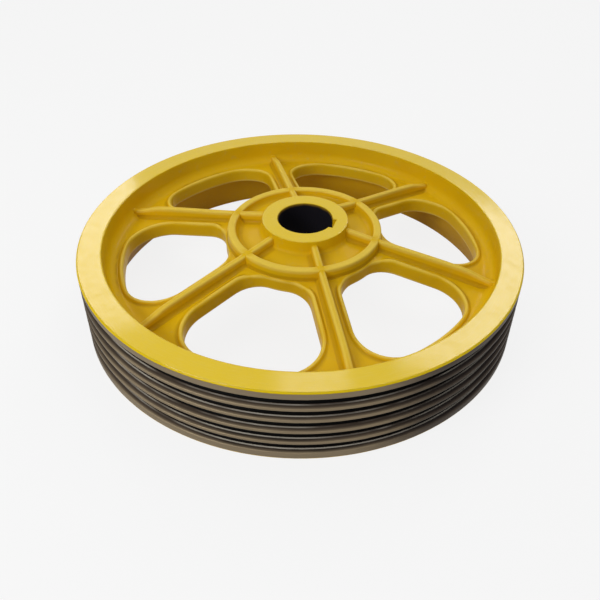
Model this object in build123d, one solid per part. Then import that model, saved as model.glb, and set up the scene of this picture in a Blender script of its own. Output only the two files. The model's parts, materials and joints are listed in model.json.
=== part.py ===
from build123d import *
import os
from math import acos, cos, hypot, radians, sin, tan

os.makedirs("parts", exist_ok=True)

# Wire rope drive sheave, one iron casting: a wide grooved rim, a dished web with six windows,
# a rib along each spoke, a ring rib round the hub, and a hub with a keyed bore.
# Millimetres. The origin is on the bore axis, in the plane of the lower rim face. +Z is the bore axis.

# Rope grooves: steep flanks above a seat that is cut deeper than the rope, so that the rope bears on its
# two sides. Flanks and seat are tangent to the seat circle, a rope's section with its clearance.
rope_diameter = 10.0
rope_seat_clearance = 0.25
rope_circle_diameter = 520.0
groove_count = 5
groove_pitch = 16.0
groove_flank_angle = 10.0
groove_root_depth = 3.0

# Rim: as high as half a rope above the rope circle, with a wall under the grooves. Its inner side is
# narrowest at the web, the waist, and opens from there to both rim faces.
rim_width = 96.0
rim_wall = 16.75
rim_upper_flare = 2.5
rim_lower_flare = 8.0

# Web: a cone that falls towards the rim, from a level below the hub's upper face
web_angle = 10.0
web_below_hub_face = 14.7
web_thickness = 17.0
web_to_rim_chamfer = 6.0
web_to_hub_chamfer = 4.0

# Windows, and the lip that stands proud of the web's upper side round each of them
spoke_count = 6
spoke_width = 35.0
window_to_ring = 6.9
window_to_rim = 18.0
window_inner_corner = 36.0
window_outer_corner = 40.0
lip_width = 7.0
lip_height = 2.5

# Ribs on the upper side: one along each spoke and one ring round the hub, of the same height
rib_height = 10.5
rib_crest_width = 4.8
rib_draft = 5.0
ring_diameter = 175.2
ring_crest_width = 5.2

# Hub
hub_upper_face = 113.5
hub_length = 72.0
hub_diameter = 104.0
hub_draft = 3.0
hub_edge_chamfer = 1.5
bore_diameter = 65.0
bore_chamfer = 1.5
key_width = 18.0
key_depth = 4.4

# How far a cutter passes the face it cuts, and how far a rib's ends and foot are buried
overrun = 1.0
rib_end_bury = 4.0
rib_foot_bury = 0.4

# Worked out from the values above
rope_circle_radius = rope_circle_diameter / 2
rim_radius = rope_circle_radius + rope_diameter / 2
seat_radius = rope_diameter / 2 + rope_seat_clearance
groove_root = seat_radius + groove_root_depth
waist = rope_circle_radius - groove_root - rim_wall
upper_mouth = waist + rim_upper_flare
lower_mouth = waist + rim_lower_flare
web_slope = tan(radians(web_angle))
hub_radius = hub_diameter / 2
bore_radius = bore_diameter / 2
hub_lower_face = hub_upper_face - hub_length
ring_radius = ring_diameter / 2
window_inner_radius = ring_radius + window_to_ring
window_outer_radius = waist - window_to_rim
spoke_step = 360.0 / spoke_count
rib_spread = rib_height * tan(radians(rib_draft))
cutter_height = hub_upper_face + overrun


def web_top(radius):
    """Height of the web's upper cone at a radius."""
    return hub_upper_face - web_below_hub_face - web_slope * (radius - hub_radius)


def web_bottom(radius):
    """Height of the web's lower cone at a radius."""
    return web_top(radius) - web_thickness


def section(points):
    """A face in the plane of radius and height."""
    return Plane.XZ * make_face(Polyline(*points, close=True))


def corner_of(face, radius, height):
    """The section corner at a radius and height."""
    return face.vertices().sort_by_distance((radius, 0, height))[0]


def rope_groove():
    """One rope groove, drawn about the rope's centre: its flanks and its seat, tangent to the seat circle."""
    flank = radians(groove_flank_angle)
    flank_turn = radians(90 - groove_flank_angle)
    seat_turn = acos(seat_radius / groove_root)
    corner_turn = (flank_turn + seat_turn) / 2
    corner_radius = seat_radius / cos((flank_turn - seat_turn) / 2)
    corner = (-corner_radius * cos(corner_turn), corner_radius * sin(corner_turn))
    reach = rim_radius - rope_circle_radius + overrun
    mouth = (reach, (seat_radius + reach * sin(flank)) / cos(flank))
    other_side = [(x, -y) for x, y in (mouth, corner)]
    return make_face(Polyline((-groove_root, 0), corner, mouth, *other_side, close=True))


def wheel_section():
    """Rim, web, ring rib and hub in one section, from the bore out to the rope grooves."""
    hub_spread = tan(radians(hub_draft))
    upper_root = hub_radius + hub_spread * (hub_upper_face - web_top(hub_radius))
    lower_root = hub_radius + hub_spread * (web_bottom(hub_radius) - hub_lower_face)
    crest = web_top(ring_radius) + rib_height
    crest_in = ring_radius - ring_crest_width / 2
    crest_out = ring_radius + ring_crest_width / 2
    foot_in = crest_in - rib_spread
    foot_out = crest_out + rib_spread
    face = section([
        (bore_radius, hub_lower_face), (hub_radius, hub_lower_face),
        (lower_root, web_bottom(lower_root)), (waist, web_bottom(waist)),
        (lower_mouth, 0), (rim_radius, 0), (rim_radius, rim_width), (upper_mouth, rim_width),
        (waist, web_top(waist)), (foot_out, web_top(foot_out)), (crest_out, crest), (crest_in, crest),
        (foot_in, web_top(foot_in)), (upper_root, web_top(upper_root)),
        (hub_radius, hub_upper_face), (bore_radius, hub_upper_face)])
    chamfers = [
        (bore_radius, hub_lower_face, bore_chamfer),
        (bore_radius, hub_upper_face, bore_chamfer),
        (hub_radius, hub_lower_face, hub_edge_chamfer),
        (hub_radius, hub_upper_face, hub_edge_chamfer),
        (lower_root, web_bottom(lower_root), web_to_hub_chamfer),
        (upper_root, web_top(upper_root), web_to_hub_chamfer),
        (waist, web_bottom(waist), web_to_rim_chamfer),
        (waist, web_top(waist), web_to_rim_chamfer)]
    for radius, height, size in chamfers:
        face = chamfer(corner_of(face, radius, height), size)
    lowest_groove = rim_width / 2 - groove_pitch * (groove_count - 1) / 2
    for index in range(groove_count):
        centre = Pos(rope_circle_radius, lowest_groove + groove_pitch * index)
        face -= Plane.XZ * centre * rope_groove()
    return face


def round_the_hub(shape):
    """Copies of a shape, one for each spoke."""
    return [Rot(0, 0, spoke_step * index) * shape for index in range(spoke_count)]


def window_outline():
    """One window seen from above, midway between two spokes."""
    ring = Circle(window_outer_radius) - Circle(window_inner_radius)
    spoke_length = window_outer_radius + overrun
    spoke = Pos(spoke_length / 2, 0) * Rectangle(spoke_length, spoke_width)
    ring -= round_the_hub(spoke)
    middle = (window_inner_radius + window_outer_radius) / 2
    turn = radians(spoke_step / 2)
    between = ring.faces().sort_by_distance((middle * cos(turn), middle * sin(turn), 0))[0]
    outline = Face(between.outer_wire())
    outer = [corner for corner in outline.vertices() if hypot(corner.X, corner.Y) > middle]
    outline = fillet(outer, window_outer_corner)
    inner = sorted(outline.vertices(), key=lambda corner: hypot(corner.X, corner.Y))[:2]
    return fillet(inner, window_inner_corner)


def window_lip(outline):
    """The raised lip round one window, on the web's upper side. Its inner side is the window's wall."""
    start = hub_radius
    end = waist
    band = section([
        (start, web_bottom(start)), (end, web_bottom(end)),
        (end, web_top(end) + lip_height), (start, web_top(start) + lip_height)])
    ring = offset(outline, amount=lip_width) - outline
    return extrude(ring, amount=cutter_height) & revolve(band, axis=Axis.Z, revolution_arc=360)


def spoke_rib():
    """The rib along one spoke, with drafted sides, from the hub into the rim."""
    start = hub_radius - rib_end_bury
    end = waist + rib_end_bury
    slant = radians(web_angle)
    depth = rib_height * cos(slant) + rib_foot_bury
    half_crest = rib_crest_width / 2
    half_foot = half_crest + depth * tan(radians(rib_draft))
    profile = make_face(Polyline(
        (-half_foot, -depth), (half_foot, -depth), (half_crest, 0), (-half_crest, 0), close=True))
    frame = Plane(origin=(start, 0, web_top(start) + rib_height), x_dir=(0, 1, 0),
                  z_dir=(cos(slant), 0, -sin(slant)))
    return extrude(frame * profile, amount=(end - start) / cos(slant))


def keyway():
    """The keyway cutter, centred on a spoke."""
    reach = bore_radius + key_depth
    middle = (hub_upper_face + hub_lower_face) / 2
    return Pos(reach / 2, 0, middle) * Box(reach, key_width, hub_length + 2 * overrun)


outline = window_outline()
opening = extrude(offset(outline, amount=lip_width / 2), amount=cutter_height)
wheel = revolve(wheel_section(), axis=Axis.Z, revolution_arc=360)
sheave = wheel - round_the_hub(opening)
sheave = sheave + round_the_hub(window_lip(outline)) + round_the_hub(spoke_rib())
sheave = sheave - keyway()

export_step(sheave, "parts/sheave.step")
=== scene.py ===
import json
from math import acos, atan2, ceil, cos, degrees, pi, radians, sin, sqrt, tan

import bmesh
import bpy
import numpy as np
from mathutils import Matrix, Vector


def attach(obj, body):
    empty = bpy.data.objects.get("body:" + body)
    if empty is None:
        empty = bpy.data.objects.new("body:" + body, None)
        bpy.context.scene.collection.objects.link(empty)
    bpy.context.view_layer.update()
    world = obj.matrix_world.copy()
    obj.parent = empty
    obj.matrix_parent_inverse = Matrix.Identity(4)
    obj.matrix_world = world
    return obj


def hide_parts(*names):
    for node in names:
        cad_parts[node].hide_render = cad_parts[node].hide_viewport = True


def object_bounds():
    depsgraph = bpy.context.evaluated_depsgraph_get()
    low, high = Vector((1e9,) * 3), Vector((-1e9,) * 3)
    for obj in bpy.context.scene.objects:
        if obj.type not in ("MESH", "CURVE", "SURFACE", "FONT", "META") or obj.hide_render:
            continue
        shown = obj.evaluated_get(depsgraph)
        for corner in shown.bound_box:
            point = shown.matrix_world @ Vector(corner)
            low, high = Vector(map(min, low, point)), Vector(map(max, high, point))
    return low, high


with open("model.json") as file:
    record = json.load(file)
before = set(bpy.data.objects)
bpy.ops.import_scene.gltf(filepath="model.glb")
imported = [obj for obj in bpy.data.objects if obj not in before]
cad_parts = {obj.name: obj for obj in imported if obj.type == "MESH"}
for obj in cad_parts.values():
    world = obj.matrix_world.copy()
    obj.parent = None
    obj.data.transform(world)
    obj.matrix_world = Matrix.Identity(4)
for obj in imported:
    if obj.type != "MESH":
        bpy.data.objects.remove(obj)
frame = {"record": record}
cad_low, cad_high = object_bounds()

# A wire rope drive sheave in one yellow-painted iron casting. The shapes are drawn in millimetres.
MM = 0.001

# From the frame: the rim, the hub's height and the bore
rim_radius = cad_high.x / MM
hub_top = cad_high.z / MM
bore = next(mount for mount in frame["record"]["mounts"] if mount["name"] == "bore")
bore_radius = bore["dims"]["r_mm"]
bore_chamfer = 1.5
hub_bottom = bore["pos_m"][2] / MM - bore["dims"]["length_mm"] / 2 - bore_chamfer

# Rim and rope grooves
rim_width = 96.0
upper_mouth_radius = 237.5
waist_radius = 235.0
lower_mouth_radius = 243.0
rim_chamfer = 1.6
mouth_round = 1.5
edge_break = 0.4        # rounds both edges of a chamfer
face_margin = 0.6       # a narrow row of faces beside each edge, which keeps a flat face flat
rope_circle_radius = 260.0
seat_radius = 5.25
groove_count = 5
groove_pitch = 16.0
flank_angle = radians(10)
groove_root = 8.25
root_round = 0.8
seat_end_round = 0.6
land_round = 1.3

# Web, a cone that falls towards the rim
web_slope = tan(radians(10))
web_below_hub_face = 16.2
web_thickness = 17.0
rim_fillet = 13.0
hub_fillet = 6.0

# Windows and their lips
spoke_count = 6
spoke_half = 17.5
window_inner = 96.0
window_outer = 217.0
inner_corner = 36.0
outer_corner = 40.0
lip_height = 2.5
lip_crest = 4.4
lip_crest_round = 1.6
lip_foot = 5.8
lip_foot_fillet = 2.4
edge_round = 2.6
lip_fade = (99.0, 116.0)        # the lip grows from nothing to its full height between these radii

# Ribs and hub
rib_height = 12.0
rib_gain = 0.20
rib_gain_span = (80.0, 190.0)
rib_end_loss = 0.40
rib_end_span = (196.0, 232.0)
rib_half = 3.5
rib_spread = rib_height * tan(radians(5))
ring_inner = 83.9
ring_outer = 93.1
crest_round = 2.3
foot_fillet = 4.0
ring_foot_fillet = 7.5
ring_outer_foot_round = 1.2
hub_radius = 52.0
hub_draft = tan(radians(3))
hub_round = 1.5
key_half = 9.0
key_floor = 36.9
key_chamfer = 0.8

# Radii at which the parts of the mesh meet, from the hub's face out to the rim's inner wall
hub_joint = 46.0
ring_joint = 94.6
fillet_joint = 224.6
rim_joint = 237.0
merge_distance = 0.01
sharp_angle = radians(38)

half_step = 180.0 / spoke_count


# Outlines and profiles

def rounded_line(corners, step=16.0):
    """Points of an open line of (x, y, radius) corners, each rounded by an arc in steps of so many degrees."""
    points = []
    for index, (x, y, radius) in enumerate(corners):
        corner = np.array((x, y))
        if radius == 0:
            points.append(corner)
            continue
        back = np.array(corners[index - 1][:2]) - corner
        ahead = np.array(corners[index + 1][:2]) - corner
        back /= np.linalg.norm(back)
        ahead /= np.linalg.norm(ahead)
        half = np.arccos(np.clip(back @ ahead, -1, 1)) / 2
        middle = (back + ahead) / np.linalg.norm(back + ahead)
        centre = corner + middle * radius / sin(half)
        start = corner + back * radius / tan(half) - centre
        end = corner + ahead * radius / tan(half) - centre
        turn = atan2(start[0] * end[1] - start[1] * end[0], start @ end)
        count = max(2, ceil(abs(degrees(turn)) / step))
        for share in np.linspace(0, turn, count + 1):
            points.append(centre + (start[0] * cos(share) - start[1] * sin(share),
                                    start[0] * sin(share) + start[1] * cos(share)))
    return np.array(points)


def web_top(radius):
    return hub_top - web_below_hub_face - web_slope * (radius - hub_radius)


def web_bottom(radius):
    return web_top(radius) - web_thickness


def wall_point(radius, mouth, mouth_height, root_height):
    """A point of the rim's inner wall, between its waist and a mouth."""
    share = (radius - waist_radius) / (mouth - waist_radius)
    return (radius, root_height + share * (mouth_height - root_height), 0)


def upper_line():
    """The casting's upper side on a radius through a window: hub, pocket, ring rib, web and rim wall."""
    root = hub_radius + hub_draft * (hub_top - web_top(hub_radius))
    crest = web_top((ring_inner + ring_outer) / 2) + rib_height
    foot_in = ring_inner - rib_spread
    foot_out = ring_outer + rib_spread
    return rounded_line([
        (hub_joint, hub_top, 0), (hub_radius - hub_round - face_margin, hub_top, 0),
        (hub_radius, hub_top, hub_round), (root, web_top(root), hub_fillet),
        (foot_in, web_top(foot_in), ring_foot_fillet),
        (ring_inner, crest, crest_round), (ring_outer, crest, crest_round),
        (foot_out, web_top(foot_out), ring_outer_foot_round), (waist_radius, web_top(waist_radius), rim_fillet),
        wall_point(rim_joint, upper_mouth_radius, rim_width, web_top(waist_radius))])


def lower_line():
    """The casting's lower side on a radius through a window."""
    root = hub_radius + hub_draft * (web_bottom(hub_radius) - hub_bottom)
    return rounded_line([
        (hub_joint, hub_bottom, 0), (hub_radius - hub_round - face_margin, hub_bottom, 0),
        (hub_radius, hub_bottom, hub_round),
        (root, web_bottom(root), hub_fillet), (waist_radius, web_bottom(waist_radius), rim_fillet),
        wall_point(rim_joint, lower_mouth_radius, 0, web_bottom(waist_radius))])


def groove_line(height):
    """One rope groove, from its upper land to its lower one: flank, seat, seat and flank."""
    seat_turn = acos(seat_radius / groove_root)
    corner_turn = (radians(90) - flank_angle + seat_turn) / 2
    corner_reach = seat_radius / cos((radians(90) - flank_angle - seat_turn) / 2)
    corner = (rope_circle_radius - corner_reach * cos(corner_turn), corner_reach * sin(corner_turn))
    mouth = (seat_radius + (rim_radius - rope_circle_radius) * sin(flank_angle)) / cos(flank_angle)
    return [
        (rim_radius, height + mouth, land_round), (corner[0], height + corner[1], seat_end_round),
        (rope_circle_radius - groove_root, height, root_round),
        (corner[0], height - corner[1], seat_end_round), (rim_radius, height - mouth, land_round)]


def rim_line(upper_end, lower_end):
    """The rim's section from its upper inner wall round the outside to its lower inner wall."""
    corners = [
        (*upper_end, 0), (upper_mouth_radius, rim_width, mouth_round),
        (upper_mouth_radius + mouth_round + face_margin, rim_width, 0),
        (rim_radius - rim_chamfer - face_margin, rim_width, 0),
        (rim_radius - rim_chamfer, rim_width, edge_break), (rim_radius, rim_width - rim_chamfer, edge_break)]
    highest = rim_width / 2 + groove_pitch * (groove_count - 1) / 2
    for index in range(groove_count):
        corners += groove_line(highest - groove_pitch * index)
    corners += [
        (rim_radius, rim_chamfer, edge_break), (rim_radius - rim_chamfer, 0, edge_break),
        (rim_radius - rim_chamfer - face_margin, 0, 0),
        (lower_mouth_radius + mouth_round + face_margin, 0, 0),
        (lower_mouth_radius, 0, mouth_round), (*lower_end, 0)]
    return rounded_line(corners, step=30.0)


def bore_line():
    """The hub's section inside its joint: upper face, chamfer, bore, chamfer and lower face."""
    return rounded_line([
        (hub_joint, hub_top, 0), (bore_radius + bore_chamfer + face_margin, hub_top, 0),
        (bore_radius + bore_chamfer, hub_top, edge_break),
        (bore_radius, hub_top - bore_chamfer, edge_break), (bore_radius, (hub_top + hub_bottom) / 2, 0),
        (bore_radius, hub_bottom + bore_chamfer, edge_break),
        (bore_radius + bore_chamfer, hub_bottom, edge_break),
        (bore_radius + bore_chamfer + face_margin, hub_bottom, 0), (hub_joint, hub_bottom, 0)])


def corner_centres():
    """The centres of a window's corner arcs, at its hub side and at its rim side."""
    inner_y = spoke_half + inner_corner
    inner_x = sqrt((window_inner + inner_corner) ** 2 - inner_y ** 2)
    outer_y = spoke_half + outer_corner
    outer_x = sqrt((window_outer - outer_corner) ** 2 - outer_y ** 2)
    return inner_x, inner_y, outer_x, outer_y


def window_runs():
    """Half a window's outline as (length, function of length) runs, from its hub side to its rim side."""
    inner_x, inner_y, outer_x, outer_y = corner_centres()
    middle = radians(half_step)
    inner_turn = atan2(inner_y, inner_x)
    outer_turn = atan2(outer_y, outer_x)

    def arc(centre, radius, start, end):
        length = abs(end - start) * radius

        def place(travel):
            turn = start + (end - start) * travel / length
            return centre[0] + radius * cos(turn), centre[1] + radius * sin(turn)
        return length, place

    straight = outer_x - inner_x
    return [
        arc((0, 0), window_inner, middle, inner_turn),
        arc((inner_x, inner_y), inner_corner, inner_turn + pi, 1.5 * pi),
        (straight, lambda travel: (inner_x + travel, spoke_half)),
        arc((outer_x, outer_y), outer_corner, -0.5 * pi, outer_turn),
        arc((0, 0), window_outer, outer_turn, middle)]


def along_window(travels):
    """Points of half a window's outline at these lengths along it."""
    runs = window_runs()
    points = []
    for travel in travels:
        for index, (length, place) in enumerate(runs):
            if travel <= length or index == len(runs) - 1:
                points.append(place(min(travel, length)))
                break
            travel -= length
    return np.array(points)


def window_distance(x, y, outline):
    """Each point's distance from a window's outline."""
    points = np.stack((x.ravel(), y.ravel()), axis=1)[:, None, :]
    start = outline[None, :-1, :]
    step = (outline[1:] - outline[:-1])[None, :, :]
    share = ((points - start) * step).sum(2) / (step ** 2).sum(2)
    nearest = start + np.clip(share, 0, 1)[..., None] * step
    return np.sqrt(((points - nearest) ** 2).sum(2).min(1)).reshape(x.shape)


# Heights of the web's two sides

# Half a rib across its spoke, and the lip outwards from a window's edge
rib_section = rounded_line([
    (0, rib_height, 0), (rib_half, rib_height, crest_round),
    (rib_half + rib_spread, 0, foot_fillet), (rib_half + rib_spread + foot_fillet, 0, 0)])[:-1]
lip_section = rounded_line([
    (0, lip_height, 0), (lip_crest, lip_height, lip_crest_round),
    (lip_foot, 0, lip_foot_fillet), (lip_foot + lip_foot_fillet * 1.5, 0, 0)], step=22.0)[:-1]
total_length = sum(length for length, place in window_runs())
window_trace = along_window(np.linspace(0, total_length, 500))


def smooth_step(value, low, high):
    share = np.clip((value - low) / (high - low), 0, 1)
    return share * share * (3 - 2 * share)


def web_height(x, y, line, side):
    """Height of the casting's upper (+1) or lower (-1) side at plan points of half a spoke."""
    radius = np.hypot(x, y)
    cone = web_top if side > 0 else web_bottom
    proud = np.interp(radius, line[:, 0], side * (line[:, 1] - cone(line[:, 0])))
    away = window_distance(x, y, window_trace)
    sunk = edge_round - np.sqrt(edge_round ** 2 - np.clip(edge_round - away, 0, None) ** 2)
    if side < 0:
        return cone(radius) - proud + sunk
    rib = np.interp(y, rib_section[:, 0], rib_section[:, 1], right=0)
    tall = (1 + rib_gain * smooth_step(radius, *rib_gain_span)
            - rib_end_loss * smooth_step(radius, *rib_end_span))
    proud = np.maximum(proud, rib * tall)
    present = smooth_step(radius, *lip_fade)
    lip = present * np.interp(away, lip_section[:, 0], lip_section[:, 1], right=0)
    blended = (np.maximum(proud, 0) ** 3 + lip ** 3) ** (1 / 3)
    return cone(radius) + blended - sunk * (1 + present)


# The mesh of half a spoke: grids of points that share their borders

columns_at_hub = 8
columns_at_rim = 12
rib_columns = rib_section[:, 0]
side_shares = np.concatenate(((0, 0.006, 0.016, 0.03), np.linspace(0.055, 1, 27)))       # rows along a spoke
lip_rows = np.array((0, 0.15, 0.45, 0.9, 1.5, 2.1, 2.7, 3.4, 4.0, 4.5, 5.0, 5.6, 6.2, 7.0, 8.4))
spare_rows = 6
wall_rows = 6


def polar_rows(radii, count):
    """Plan points at these radii: the rib's columns, then even ones as far as the window's middle line."""
    rows = []
    for radius in radii:
        angles = list(np.arcsin(rib_columns / radius))
        angles += list(np.linspace(angles[-1], radians(half_step), count + 1)[1:])
        rows.append([(radius * cos(angle), radius * sin(angle)) for angle in angles])
    return np.array(rows)


def inner_radii(line, low, high):
    """The profile's own radii between two joints, with both joints."""
    own = [radius for radius in line[:, 0] if low + 0.02 < radius < high - 0.02]
    return np.array([low] + own + [high])


def spoke_rows():
    """Plan points of the rib's strip between the ring rib and the rim's fillet."""
    near = np.sqrt(ring_joint ** 2 - rib_columns ** 2)
    far = np.sqrt(fillet_joint ** 2 - rib_columns ** 2)
    return np.array([np.stack((near + (far - near) * share, rib_columns), axis=1) for share in side_shares])


def window_rows():
    """Plan points from a window's outline out to the ring rib, the rib's strip and the rim's fillet."""
    side = spoke_rows()[:, -1]
    hub_arc = polar_rows([ring_joint], columns_at_hub)[0][len(rib_columns) - 1:]
    rim_arc = polar_rows([fillet_joint], columns_at_rim)[0][len(rib_columns) - 1:]
    border = np.concatenate((hub_arc[::-1], side[1:], rim_arc[1:]))
    lengths = [length for length, place in window_runs()]
    inner_x, inner_y, outer_x, outer_y = corner_centres()
    edge = rib_columns[-1]
    start = sqrt(ring_joint ** 2 - edge ** 2)
    end = sqrt(fillet_joint ** 2 - edge ** 2)
    # The outline's points that lie straight across from the strip's two ends, seen from the corners' centres
    first = lengths[0] + lengths[1] - inner_corner * atan2(inner_x - start, inner_y - edge)
    second = sum(lengths[:3]) + outer_corner * atan2(end - outer_x, outer_y - edge)
    travels = np.concatenate((
        np.linspace(0, first, columns_at_hub + 1), first + (second - first) * side_shares[1:],
        np.linspace(second, total_length, columns_at_rim + 1)[1:]))
    outline = along_window(travels)
    reach = np.linalg.norm(border - outline, axis=1)
    room = np.minimum(1, reach / (lip_rows[-1] + 0.6))
    rows = [outline + (border - outline) * (row * room / reach)[:, None] for row in lip_rows]
    last = rows[-1]
    for share in np.linspace(0, 1, spare_rows + 1)[1:]:
        rows.append(last + (border - last) * share)
    return np.array(rows)


def lifted(plan, line, side):
    """Plan points with their heights."""
    height = web_height(plan[..., 0], plan[..., 1], line, side)
    return np.concatenate((plan, height[..., None]), axis=2)


def turned_columns(section, angles):
    """A section's (radius, height) points repeated at these angles about the bore's axis."""
    grid = np.empty((len(section), len(angles), 3))
    grid[..., 0] = section[:, :1] * np.cos(angles)[None, :]
    grid[..., 1] = section[:, :1] * np.sin(angles)[None, :]
    grid[..., 2] = section[:, 1:]
    return grid


def half_spoke_grids():
    """All the surfaces over half a spoke and half a window, as grids of points."""
    grids = []
    hub_borders, window_borders, rim_borders = [], [], []
    for line, side in ((upper_line(), 1), (lower_line(), -1)):
        hub = lifted(polar_rows(inner_radii(line, hub_joint, ring_joint), columns_at_hub), line, side)
        strip = lifted(spoke_rows(), line, side)
        window = lifted(window_rows(), line, side)
        rim = lifted(polar_rows(inner_radii(line, fillet_joint, rim_joint), columns_at_rim), line, side)
        grids += [hub, strip, window, rim]
        hub_borders.append(hub[0])
        window_borders.append(window[0])
        rim_borders.append(rim[-1])
    upper, lower = window_borders
    grids.append(np.array([upper + (lower - upper) * share for share in np.linspace(0, 1, wall_rows)]))
    upper, lower = rim_borders
    rim_section = rim_line((rim_joint, upper[0, 2]), (rim_joint, lower[0, 2]))
    grids.append(turned_columns(rim_section, np.arctan2(upper[:, 1], upper[:, 0])))
    upper = hub_borders[0]
    grids.append(turned_columns(bore_line(), np.arctan2(upper[:, 1], upper[:, 0])))
    return grids


def spoke_mesh(name):
    """One spoke and the window halves beside it, as a mesh."""
    points = []
    faces = []
    for grid in half_spoke_grids():
        rows, columns = grid.shape[:2]
        for mirror in (1, -1):
            first = sum(len(block) for block in points)
            block = grid.reshape(-1, 3) * (1, mirror, 1) * MM
            points.append(block)
            index = first + np.arange(rows * columns).reshape(rows, columns)
            quads = np.stack((index[:-1, :-1], index[:-1, 1:], index[1:, 1:], index[1:, :-1]), axis=2)
            faces.append(quads.reshape(-1, 4))
    mesh = bpy.data.meshes.new(name)
    mesh.from_pydata(np.concatenate(points).tolist(), [], np.concatenate(faces).tolist())
    return mesh


# The whole casting: one spoke repeated round the bore by a node tree

def wheel_tree(material):
    """Geometry nodes that repeat a spoke round +Z and join the copies."""
    tree = bpy.data.node_groups.new("spokes_round_the_hub", "GeometryNodeTree")
    ports = tree.interface
    ports.new_socket("Geometry", in_out="INPUT", socket_type="NodeSocketGeometry")
    spokes = ports.new_socket("Spokes", in_out="INPUT", socket_type="NodeSocketInt")
    merge = ports.new_socket("Merge Distance", in_out="INPUT", socket_type="NodeSocketFloat")
    ports.new_socket("Geometry", in_out="OUTPUT", socket_type="NodeSocketGeometry")

    def node(kind, settings=None, **values):
        made = tree.nodes.new(kind)
        for key, value in (settings or {}).items():
            setattr(made, key, value)
        for key, value in values.items():
            socket = made.inputs[key.replace("_", " ")]
            if isinstance(value, bpy.types.NodeSocket):
                tree.links.new(value, socket)
            else:
                socket.default_value = value
        return made

    start = node("NodeGroupInput")
    points = node("GeometryNodePoints", Count=start.outputs["Spokes"])
    step = node("ShaderNodeMath", {"operation": "DIVIDE"})
    step.inputs[0].default_value = 2 * pi
    tree.links.new(start.outputs["Spokes"], step.inputs[1])
    turn = node("ShaderNodeMath", {"operation": "MULTIPLY"})
    tree.links.new(node("GeometryNodeInputIndex").outputs["Index"], turn.inputs[0])
    tree.links.new(step.outputs[0], turn.inputs[1])
    rotation = node("ShaderNodeCombineXYZ", Z=turn.outputs[0])
    copies = node("GeometryNodeInstanceOnPoints", Points=points.outputs[0],
                  Instance=start.outputs["Geometry"], Rotation=rotation.outputs[0])
    real = node("GeometryNodeRealizeInstances", Geometry=copies.outputs[0])
    joined = node("GeometryNodeMergeByDistance", Geometry=real.outputs[0],
                  Distance=start.outputs["Merge Distance"])
    painted = node("GeometryNodeSetMaterial", Geometry=joined.outputs[0], Material=material)
    end = tree.nodes.new("NodeGroupOutput")
    tree.links.new(painted.outputs[0], end.inputs[0])
    return tree, spokes.identifier, merge.identifier


def baked(piece):
    """A plain mesh of a piece as its modifiers leave it."""
    view = bpy.context.evaluated_depsgraph_get()
    return bpy.data.meshes.new_from_object(piece.evaluated_get(view))


def keyway_cutter():
    """A block for the keyway, flared at both hub faces to break the keyway's edges."""
    beyond = 1
    levels = [
        (hub_top + beyond, key_chamfer + beyond), (hub_top - key_chamfer, 0),
        (hub_bottom + key_chamfer, 0), (hub_bottom - beyond, key_chamfer + beyond)]
    points = []
    for height, flare in levels:
        for x, y in ((0, -1), (1, -1), (1, 1), (0, 1)):
            points.append((x * (key_floor + flare) * MM, y * (key_half + flare) * MM, height * MM))
    faces = [(0, 1, 2, 3), (15, 14, 13, 12)]
    for level in range(3):
        for side in range(4):
            a = level * 4 + side
            b = level * 4 + (side + 1) % 4
            faces.append((a, a + 4, b + 4, b))
    mesh = bpy.data.meshes.new("keyway_cutter")
    mesh.from_pydata(points, [], faces)
    return bpy.data.objects.new("keyway_cutter", mesh)


def mark_relief(mesh):
    """Store how hollow (+) or crested (-) the surface is at each point, as 1 / radius in 1 / mm."""
    sharpest = 0.3
    short_edge = 0.4
    smooth_reach = 1.5
    smooth_rounds = 3
    count = len(mesh.vertices)
    spots = np.empty(count * 3)
    mesh.vertices.foreach_get("co", spots)
    spots = spots.reshape(-1, 3) / MM
    normals = np.empty(count * 3)
    mesh.vertices.foreach_get("normal", normals)
    normals = normals.reshape(-1, 3)
    edges = np.empty(len(mesh.edges) * 2, dtype=int)
    mesh.edges.foreach_get("vertices", edges)
    one, other = edges.reshape(-1, 2).T
    run = spots[other] - spots[one]
    length = np.linalg.norm(run, axis=1)
    weight = length / (short_edge + length) ** 2
    share = np.bincount(one, weight, count) + np.bincount(other, weight, count)
    rise = 2 * weight / length ** 2
    relief = (
        np.bincount(one, rise * (run * normals[one]).sum(1), count)
        - np.bincount(other, rise * (run * normals[other]).sum(1), count)) / share
    relief = np.clip(relief, -sharpest, sharpest)
    near = np.exp(-(length / smooth_reach) ** 2)
    for step in range(smooth_rounds):
        spread = 1 + np.bincount(one, near, count) + np.bincount(other, near, count)
        relief = (relief + np.bincount(one, near * relief[other], count)
                  + np.bincount(other, near * relief[one], count)) / spread
    mesh.attributes.new("relief", "FLOAT", "POINT").data.foreach_set("value", relief.astype(np.float32))


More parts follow.
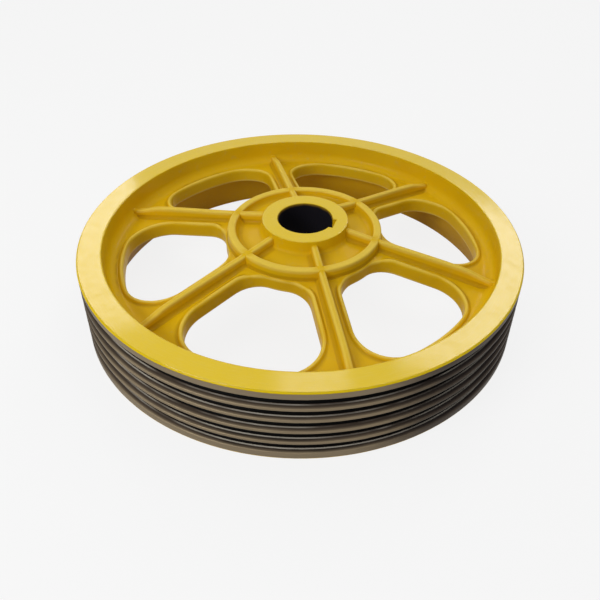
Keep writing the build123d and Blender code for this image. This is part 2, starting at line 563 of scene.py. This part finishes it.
def sheave_piece(material):
    """The finished casting, as one closed mesh."""
    spoke = spoke_mesh("spoke")
    piece = bpy.data.objects.new("sheave_casting", spoke)
    bpy.context.scene.collection.objects.link(piece)
    tree, spokes, merge = wheel_tree(material)
    repeat = piece.modifiers.new("spokes_round_the_hub", "NODES")
    repeat.node_group = tree
    repeat[spokes] = spoke_count
    repeat[merge] = merge_distance * MM
    wheel = baked(piece)
    piece.modifiers.clear()
    piece.data = wheel
    shell = bmesh.new()
    shell.from_mesh(wheel)
    bmesh.ops.remove_doubles(shell, verts=shell.verts, dist=merge_distance * MM)
    bmesh.ops.dissolve_degenerate(shell, dist=merge_distance * MM / 10, edges=shell.edges)
    bmesh.ops.recalc_face_normals(shell, faces=shell.faces)
    shell.to_mesh(wheel)
    shell.free()

    cutter = keyway_cutter()
    bpy.context.scene.collection.objects.link(cutter)
    cut = piece.modifiers.new("keyway", "BOOLEAN")
    cut.object = cutter
    cut.solver = "EXACT"
    keyed = baked(piece)
    piece.modifiers.clear()
    piece.data = keyed
    bpy.data.objects.remove(cutter)
    keyed.materials.clear()
    keyed.materials.append(material)
    keyed.shade_smooth()
    keyed.set_sharp_from_angle(angle=sharp_angle)
    mark_relief(keyed)
    return piece


# Finish

class Number:
    """A number that changes over a surface: a node's socket with Python's arithmetic."""

    def __init__(self, finish, socket):
        self.finish = finish
        self.socket = socket

    def __add__(self, other):
        return self.finish.maths("ADD", self, other)

    def __sub__(self, other):
        return self.finish.maths("SUBTRACT", self, other)

    def __rsub__(self, other):
        return self.finish.maths("SUBTRACT", other, self)

    def __mul__(self, other):
        return self.finish.maths("MULTIPLY", self, other)

    def __truediv__(self, other):
        return self.finish.maths("DIVIDE", self, other)

    __radd__ = __add__
    __rmul__ = __mul__


class Finish:
    """A material, or the studio round the wheel, in the making."""

    def __init__(self, owner, shader="Principled BSDF"):
        owner.use_nodes = True
        self.owner = owner
        self.tree = owner.node_tree
        self.shader = self.tree.nodes[shader]

    def node(self, kind, settings=None, sockets=None):
        """Add a node, with its settings first and then the values or links of its sockets."""
        made = self.tree.nodes.new(kind)
        for name, value in (settings or {}).items():
            setattr(made, name, value)
        for name, value in (sockets or {}).items():
            self.feed(made.inputs[name], value)
        return made

    def feed(self, socket, value):
        """Give a socket a value, a node's output or a number."""
        if isinstance(value, Number):
            value = value.socket
        if isinstance(value, bpy.types.NodeSocket):
            self.tree.links.new(value, socket)
        else:
            socket.default_value = value

    def maths(self, operation, *values):
        made = self.node("ShaderNodeMath", {"operation": operation}, dict(enumerate(values)))
        return Number(self, made.outputs[0])

    def seen(self):
        """1 where a surface is looked at or mirrored, and 0 where it only lights others."""
        ray = self.node("ShaderNodeLightPath")
        shown = self.maths("MAXIMUM", ray.outputs["Is Camera Ray"], ray.outputs["Is Glossy Ray"])
        return self.maths("MAXIMUM", shown, ray.outputs["Is Transmission Ray"])

    def place(self):
        """The surface's own position, in millimetres."""
        spot = self.node("ShaderNodeTexCoord").outputs["Object"]
        scaled = self.node("ShaderNodeVectorMath", {"operation": "SCALE"}, {0: spot, "Scale": 1 / MM})
        return scaled.outputs[0]

    def parts(self, vector):
        split = self.node("ShaderNodeSeparateXYZ", sockets={0: vector})
        return [Number(self, socket) for socket in split.outputs]

    def vector(self, x, y, z):
        return self.node("ShaderNodeCombineXYZ", sockets={0: x, 1: y, 2: z}).outputs[0]

    def noise(self, vector, scale, detail=2.0, roughness=0.5):
        """Noise of about 0 to 1, with grains of about 1 / scale."""
        made = self.node("ShaderNodeTexNoise", sockets={
            "Vector": vector, "Scale": scale, "Detail": detail, "Roughness": roughness})
        return Number(self, made.outputs[0])

    def rise(self, value, low, high):
        """0 below low, 1 above high and smooth between them. Falls instead where low is above high."""
        made = self.node("ShaderNodeMapRange", {"interpolation_type": "SMOOTHSTEP"}, {
            "Value": value, "From Min": low, "From Max": high})
        return Number(self, made.outputs[0])

    def mixed(self, share, first, second):
        """One colour over another, by a share of 0 to 1."""
        made = self.node("ShaderNodeMix", {"data_type": "RGBA"}, {0: share, 6: first, 7: second})
        return made.outputs[2]


def colour(red, green, blue):
    return (red, green, blue, 1.0)


# Where the finish changes, mostly as the start and end of a change, in millimetres
paint_full = 1.7                        # from the rim's faces, down its edges
paint_end = 2.4
wall_depth = 18.0                       # from the rim's outside
face_skin = (-0.5, -0.2)                # from a turned face
face_radii = (200.0, 201.0)
rim_edge_heights = (80.0, 84.0)
low_rim_shade_heights = (62.0, 48.0)            # the orange painted shade low down inside the rim
low_rim_shade_radii = (180.0, 215.0)
web_start = (53.0, 56.0)
web_end = (232.0, 228.0)
land_start = (1.6, 4.8)                 # from the rope circle, outwards
polish_highlight_start = (-0.9, -0.5)
polish_highlight_end = (0.9, 0.2)
root_start = (-0.7, -1.7)

PAINT = colour(0.74, 0.465, 0.005)
PAINT_DEEP = colour(0.68, 0.39, 0.005)
PAINT_FACE = colour(0.82, 0.585, 0.006)
PAINT_THIN_AND_SHEEN = colour(0.86, 0.66, 0.12)
PAINT_DUST = colour(0.60, 0.43, 0.10)
PAINT_LOW_RIM_SHADE = colour(0.74, 0.39, 0.008)
PAINT_HOLLOW_SHADE = colour(0.40, 0.21, 0.004)
OIL_AND_SHADE_BLACK = colour(0.006, 0.006, 0.006)
IRON_DARK = colour(0.09, 0.067, 0.050)
IRON_LAND = colour(0.295, 0.230, 0.145)
GROOVE_SIDE_SHADE = colour(0.028, 0.022, 0.023)
IRON_POLISH_HIGHLIGHT = colour(0.85, 0.80, 0.68)
BORE_DARK = colour(0.012, 0.011, 0.015)
FLOOR_WHITE = colour(0.60, 0.60, 0.60)
WHITE = colour(1.0, 1.0, 1.0)


def casting_finish():
    """Yellow gloss paint on the casting, with bare oiled iron in the rope grooves and the bore."""
    finish = Finish(bpy.data.materials.new("painted_casting"))
    spot = finish.place()
    x, y, z = finish.parts(spot)
    radius = finish.maths("SQRT", x * x + y * y)
    relief = Number(finish, finish.node("ShaderNodeAttribute", {"attribute_name": "relief"}).outputs["Fac"])

    # Where each surface is: the paint ends a little below the rim's faces, at an uneven line
    wobble = (finish.noise(spot, 0.09, 3.0) - 0.5) * 0.9
    upper_edge = finish.rise(z + wobble, rim_width - paint_end, rim_width - paint_full)
    lower_edge = finish.rise(z + wobble, paint_end, paint_full)
    outside = finish.rise(radius, rim_radius - wall_depth - 1.0, rim_radius - wall_depth)
    grooved = outside * (1 - upper_edge) * (1 - lower_edge)
    in_bore = finish.rise(radius, bore_radius + 0.9, bore_radius + 0.5)
    bare = finish.maths("MAXIMUM", grooved, in_bore)
    rim_face = finish.rise(z - rim_width, *face_skin) * finish.rise(radius, *face_radii)
    hub_face = finish.rise(z - hub_top, *face_skin)
    turned = finish.maths("MAXIMUM", rim_face, hub_face)

    # Paint: slow drifts, mottling and dust, a purer yellow on the turned faces, orange painted shade low down
    # inside the rim, painted shade in the hollows and painted highlights on the crests
    drift = finish.noise(spot, 0.012, 2.0)
    mottle = finish.noise(spot, 0.11, 4.0, 0.6)
    grain = finish.noise(spot, 0.9, 3.0, 0.6)
    turning = finish.noise(finish.vector(radius * 0.9, x / radius * 14.0, y / radius * 14.0), 1.0, 4.0, 0.7)
    paint = finish.mixed(finish.rise(drift, 0.35, 0.70) * 0.45, PAINT, PAINT_DEEP)
    paint = finish.mixed(finish.rise(mottle, 0.55, 0.80) * 0.35, paint, PAINT_DUST)
    rim_edge = finish.rise(radius, rim_radius - 2.6, rim_radius - 2.0) * finish.rise(z, *rim_edge_heights)
    paint = finish.mixed(finish.maths("MAXIMUM", turned, rim_edge) * 0.85, paint, PAINT_FACE)
    paint = finish.mixed(turned * finish.rise(turning, 0.45, 0.75) * 0.2, paint, PAINT_THIN_AND_SHEEN)
    specks = finish.rise(finish.noise(spot, 0.55, 2.0), 0.70, 0.76)
    paint = finish.mixed(specks * 0.35, paint, PAINT_DUST)
    # Painted shade: a darker, more orange tint low down inside the rim, below the web
    low_rim_shade = finish.rise(z, *low_rim_shade_heights) * finish.rise(radius, *low_rim_shade_radii) * (1 - outside)
    paint = finish.mixed(low_rim_shade * (0.35 + drift * 0.3), paint, PAINT_LOW_RIM_SHADE)
    webbed = finish.rise(radius, *web_end) * finish.rise(radius, *web_start)
    # Painted shade: the paint darkens in the web's hollows, at the feet of the ribs, lips and fillets
    paint = finish.mixed(webbed * finish.rise(relief, 0.02, 0.16) * 0.55, paint, PAINT_HOLLOW_SHADE)
    # Painted highlight: the paint turns paler along the web's crests, rib tops and lip edges
    paint = finish.mixed(webbed * finish.rise(relief, -0.06, -0.24) * 0.55, paint, PAINT_THIN_AND_SHEEN)

    # Bare iron: worn lands, painted shade on the grooves at the sides, the line that the ropes polish with a
    # painted highlight on it, black roots of oil and painted shade, and the bore
    round_rim = finish.vector(x / radius * 7.0, y / radius * 7.0, z * 0.9 + radius * 0.7)
    streaks = finish.noise(round_rim, 1.0, 4.0, 0.65)
    patches = finish.noise(finish.vector(x / radius * 3.0, y / radius * 3.0, z * 0.03), 1.0, 3.0)
    outwards = radius - rope_circle_radius
    land = finish.rise(outwards, *land_start)
    root = finish.rise(outwards, *root_start)
    line = finish.rise(outwards, *polish_highlight_start) * finish.rise(outwards, *polish_highlight_end)
    worn = finish.rise(patches, 0.36, 0.60) * (0.25 + streaks * 0.75)
    iron = finish.mixed(land * (0.55 + streaks * 0.7), IRON_DARK, IRON_LAND)
    iron = finish.mixed(finish.rise(patches, 0.5, 0.7) * (1 - land) * 0.5, iron, OIL_AND_SHADE_BLACK)
    # Painted shade: the grooves darken towards two opposite sides of the wheel, its left and right in this view
    side_shade_bearing = x / radius * 0.99 - y / radius * 0.14 + (patches - 0.5) * 0.3
    painted_side_shade = finish.rise(side_shade_bearing, 0.62, 0.86) * 0.80 + finish.rise(side_shade_bearing, -0.30, -0.70) * 0.72
    iron = finish.mixed(painted_side_shade, iron, GROOVE_SIDE_SHADE)
    # The line that the ropes polish, given a pale colour that is also a painted highlight
    iron = finish.mixed(line * worn, iron, IRON_POLISH_HIGHLIGHT)
    # Black roots: dark oil, and painted shade deep in each groove under the land above
    iron = finish.mixed(root, iron, OIL_AND_SHADE_BLACK)
    iron = finish.mixed(in_bore, iron, BORE_DARK)
    bore_mist = in_bore * finish.rise(z + mottle * 3.0, hub_top - 3.0, hub_top + 2.0) * 0.4
    iron = finish.mixed(bore_mist, iron, PAINT_DEEP)

    # Gloss: a broken coat on the turned faces, hardly any on the cast ones
    paint_rough = 0.30 + mottle * 0.14
    iron_rough = 0.34 + streaks * 0.22
    gloss = 0.48 + finish.rise(grain, 0.38, 0.62) * 0.25 + finish.rise(mottle, 0.35, 0.60) * 0.20

    # Relief, in millimetres: the sand mould's waves and grain, the lathe's lines, and the ropes' streaks
    waves = finish.noise(spot, 0.05, 2.0) * 0.9
    cast_height = (1 - turned) * (1 - bare) * (waves + mottle * 0.22 + grain * 0.045)
    turned_height = turned * (turning * 0.006 + grain * 0.010)
    bump = finish.node("ShaderNodeBump", sockets={
        "Strength": 1.0, "Distance": MM, "Height": cast_height + turned_height + bare * streaks * 0.05})

    for name, value in (
            ("Base Color", finish.mixed(bare, paint, iron)),
            ("Metallic", bare * (0.12 + land * 0.28) * (1 - root) * (1 - bore_mist)),
            ("Roughness", paint_rough * (1 - bare) + iron_rough * bare),
            ("Coat Weight", (0.06 + turned * gloss * 0.94) * (1 - bare)),
            ("Coat Roughness", 0.10), ("Specular IOR Level", 0.03), ("Normal", bump.outputs[0])):
        finish.feed(finish.shader.inputs[name], value)
    return finish.owner


sheave = sheave_piece(casting_finish())
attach(sheave, "root")
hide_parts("sheave")


# Floor, lamps and camera

def floor_finish():
    """A white floor that shows its shadows, with most of its white its own where it is seen or mirrored."""
    finish = Finish(bpy.data.materials.new("white_floor"))
    for name, value in (("Base Color", FLOOR_WHITE), ("Roughness", 0.9), ("Specular IOR Level", 0.0)):
        finish.feed(finish.shader.inputs[name], value)
    glow = finish.node("ShaderNodeEmission", sockets={"Color": WHITE, "Strength": 1.0})
    both = finish.node("ShaderNodeMixShader", sockets={
        0: finish.seen() * 0.85, 1: finish.shader.outputs[0], 2: glow.outputs[0]})
    finish.tree.links.new(both.outputs[0], finish.tree.nodes["Material Output"].inputs["Surface"])
    return finish.owner


def floor_piece():
    half = 8.0
    corners = [(-half, -half, 0), (half, -half, 0), (half, half, 0), (-half, half, 0)]
    mesh = bpy.data.meshes.new("floor")
    mesh.from_pydata(corners, [], [(0, 1, 2, 3)])
    mesh.materials.append(floor_finish())
    floor = bpy.data.objects.new("floor", mesh)
    bpy.context.scene.collection.objects.link(floor)
    return floor


floor_piece()

view_turn = radians(17.83)


def area_lamp(name, bearing, elevation, distance, size, power):
    """A soft lamp that faces the wheel. Its bearing is counted from straight behind the wheel, to the right."""
    lamp = bpy.data.lights.new(name, "AREA")
    lamp.shape = "RECTANGLE"
    lamp.size, lamp.size_y = size
    lamp.energy = power
    holder = bpy.data.objects.new(name, lamp)
    bpy.context.scene.collection.objects.link(holder)
    turn = radians(90) + view_turn - radians(bearing)
    rise = radians(elevation)
    middle = Vector((0, 0, rim_width * MM))
    place = middle + distance * Vector((cos(turn) * cos(rise), sin(turn) * cos(rise), sin(rise)))
    facing = (middle - place).to_track_quat("-Z", "Y").to_matrix().to_4x4()
    holder.matrix_world = Matrix.Translation(place) @ facing


area_lamp("ceiling_softbox", 30, 78, 1.8, (1.5, 1.1), 6.5)
area_lamp("front_softbox", 226, 34, 1.8, (0.9, 0.7), 12.5)
area_lamp("rear_left_softbox", -24.5, 34, 5.0, (0.90, 1.30), 15)
area_lamp("rear_middle_softbox", 1.5, 50, 5.0, (0.60, 0.90), 4.5)
area_lamp("rear_right_softbox", 23.0, 38, 5.0, (1.20, 1.50), 28)

studio_light = 0.34
studio_white = 0.92
studio = Finish(bpy.data.worlds.new("studio"), "Background")
studio.feed(studio.shader.inputs["Color"], WHITE)
studio.feed(studio.shader.inputs["Strength"], studio_light + studio.seen() * (studio_white - studio_light))
bpy.context.scene.world = studio.owner

camera_out = 0.6761
camera_height = 0.5510
camera_heading = radians(4.206)
camera_tilt = radians(36.37)
camera_roll = radians(3.404)
lens = bpy.data.cameras.new("camera")
lens.sensor_width = 36.0
lens.lens = 39.79
lens.shift_x = -0.0730
lens.shift_y = -0.0677
camera = bpy.data.objects.new("camera", lens)
bpy.context.scene.collection.objects.link(camera)
camera.matrix_world = (
    Matrix.Rotation(view_turn, 4, "Z") @ Matrix.Translation((0, -camera_out, camera_height))
    @ Matrix.Rotation(-camera_heading, 4, "Z") @ Matrix.Rotation(radians(90) - camera_tilt, 4, "X")
    @ Matrix.Rotation(camera_roll, 4, "Z"))
bpy.context.scene.camera = camera
bpy.context.scene.view_settings.view_transform = "Standard"
